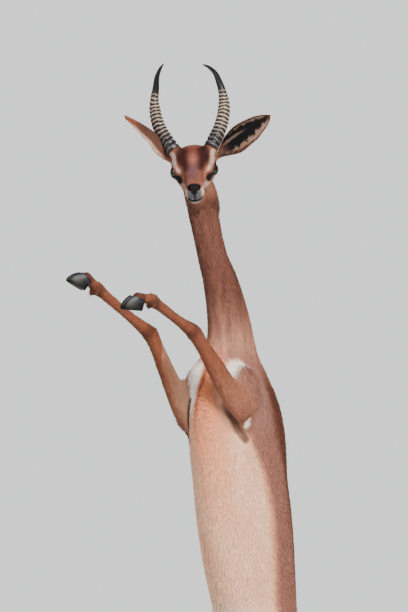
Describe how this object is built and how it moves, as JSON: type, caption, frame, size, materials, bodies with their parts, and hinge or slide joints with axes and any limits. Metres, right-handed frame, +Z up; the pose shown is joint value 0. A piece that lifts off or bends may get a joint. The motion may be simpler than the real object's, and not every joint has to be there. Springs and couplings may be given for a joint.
{
  "type": "gerenuk model",
  "caption": "Life-size still model of a male gerenuk, a long-necked antelope, reared up on its hind legs with its forelegs raised to browse, on a flat display base",
  "frame": {"origin": "middle of the display base's underside", "axes": "+X is the animal's left, -Y is the way its body faces, +Z is up"},
  "size_m": [0.6, 0.8526, 2.1965],
  "materials": {
    "brown_coat": "short rufous-brown fur, lying flat",
    "pale_coat": "short fur, pale on the belly and darker brown on the flank and back",
    "face_coat": "very short fur with pale rings round the eyes",
    "horn": "horn, ringed and grey below, smooth and black at the tip",
    "hoof": "black horn with a dull shine",
    "eye": "wet, dark brown",
    "tail_hair": "long black hair",
    "base": "dark stained wood, satin"
  },
  "bodies": {
    "root": {"ear_left": "face_coat", "ear_right": "face_coat", "eye_left": "eye", "eye_right": "eye", "foreleg_left_arm": "brown_coat", "foreleg_left_cannon": "brown_coat", "foreleg_right_arm": "brown_coat", "foreleg_right_cannon": "brown_coat", "head": "face_coat", "hindleg_left_cannon": "brown_coat", "hindleg_left_shank": "brown_coat", "hindleg_left_thigh": "brown_coat", "hindleg_right_cannon": "brown_coat", "hindleg_right_shank": "brown_coat", "hindleg_right_thigh": "brown_coat", "hoof_left_fore_inner": "hoof", "hoof_left_fore_outer": "hoof", "hoof_left_hind_inner": "hoof", "hoof_left_hind_outer": "hoof", "hoof_right_fore_inner": "hoof", "hoof_right_fore_outer": "hoof", "hoof_right_hind_inner": "hoof", "hoof_right_hind_outer": "hoof", "horn_left": "horn", "horn_right": "horn", "neck": "brown_coat", "stand_base": "base", "tail": "brown_coat", "tail_tuft": "tail_hair", "torso": "pale_coat"}
  },
  "joints": []
}
